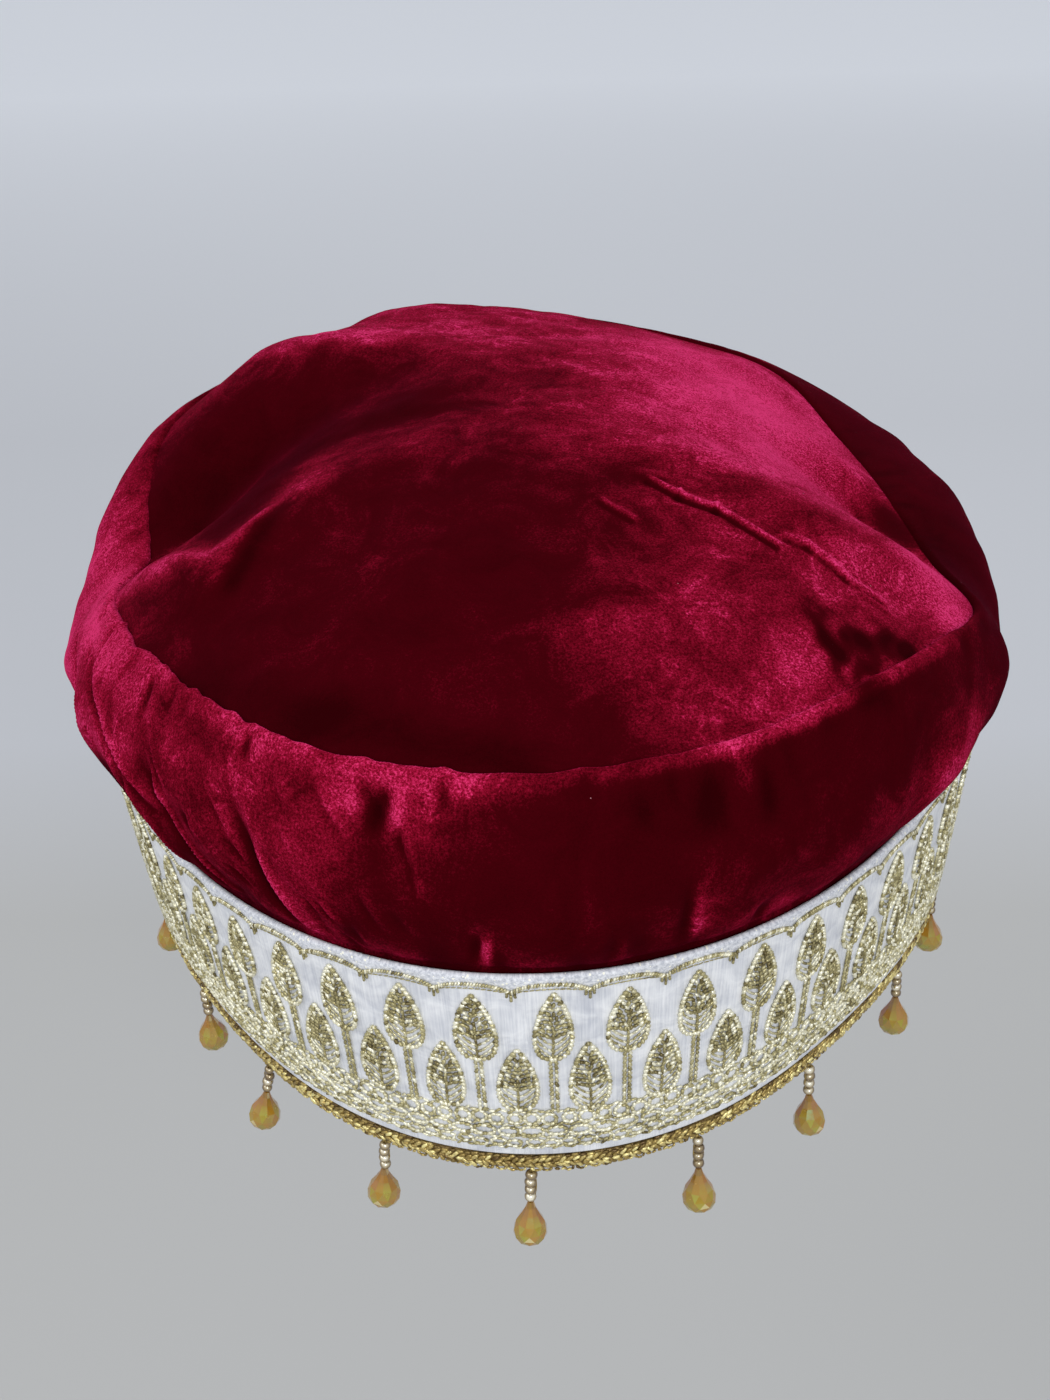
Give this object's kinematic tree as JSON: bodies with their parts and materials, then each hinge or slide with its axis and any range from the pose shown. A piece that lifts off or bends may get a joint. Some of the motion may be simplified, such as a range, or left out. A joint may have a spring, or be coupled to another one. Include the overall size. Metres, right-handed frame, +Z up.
{
  "type": "velvet cap",
  "caption": "Soft round velvet cap with a domed, folded crown over a white satin band embroidered in gold, edged with braid and hanging faceted glass drops.",
  "frame": {"origin": "middle of the head opening, level with the middle height of the band's lower edge", "axes": "+Z up through the crown, -Y towards the front of the cap, +X towards the right of someone who looks at its front"},
  "size_m": [0.2055, 0.2262, 0.1342],
  "materials": {
    "tip_velvet": "crimson velvet, dark along the nap and pink at a grazing angle",
    "side_velvet": "crimson velvet, crushed and gathered",
    "band_satin": "white satin with fine upright threads",
    "gold_thread": "pale gold embroidery thread",
    "gold_braid": "woven gold gimp with brown recesses",
    "pearl_seed": "pearly gold seed beads",
    "amber_glass": "faceted amber glass with an iridescent coat, nearly opaque"
  },
  "bodies": {
    "root": {"crown_tip": "tip_velvet", "side_panel": "side_velvet", "trim_band": "band_satin", "edge_braid": "gold_braid", "seed_strand_01": "pearl_seed", "seed_strand_02": "pearl_seed", "seed_strand_03": "pearl_seed", "seed_strand_04": "pearl_seed", "seed_strand_05": "pearl_seed", "seed_strand_06": "pearl_seed", "seed_strand_07": "pearl_seed", "seed_strand_08": "pearl_seed", "seed_strand_09": "pearl_seed", "seed_strand_10": "pearl_seed", "seed_strand_11": "pearl_seed", "seed_strand_12": "pearl_seed", "seed_strand_13": "pearl_seed", "seed_strand_14": "pearl_seed", "seed_strand_15": "pearl_seed", "seed_strand_16": "pearl_seed", "seed_strand_17": "pearl_seed", "seed_strand_18": "pearl_seed", "drop_bead_01": "amber_glass", "drop_bead_02": "amber_glass", "drop_bead_03": "amber_glass", "drop_bead_04": "amber_glass", "drop_bead_05": "amber_glass", "drop_bead_06": "amber_glass", "drop_bead_07": "amber_glass", "drop_bead_08": "amber_glass", "drop_bead_09": "amber_glass", "drop_bead_10": "amber_glass", "drop_bead_11": "amber_glass", "drop_bead_12": "amber_glass", "drop_bead_13": "amber_glass", "drop_bead_14": "amber_glass", "drop_bead_15": "amber_glass", "drop_bead_16": "amber_glass", "drop_bead_17": "amber_glass", "drop_bead_18": "amber_glass"}
  },
  "joints": []
}
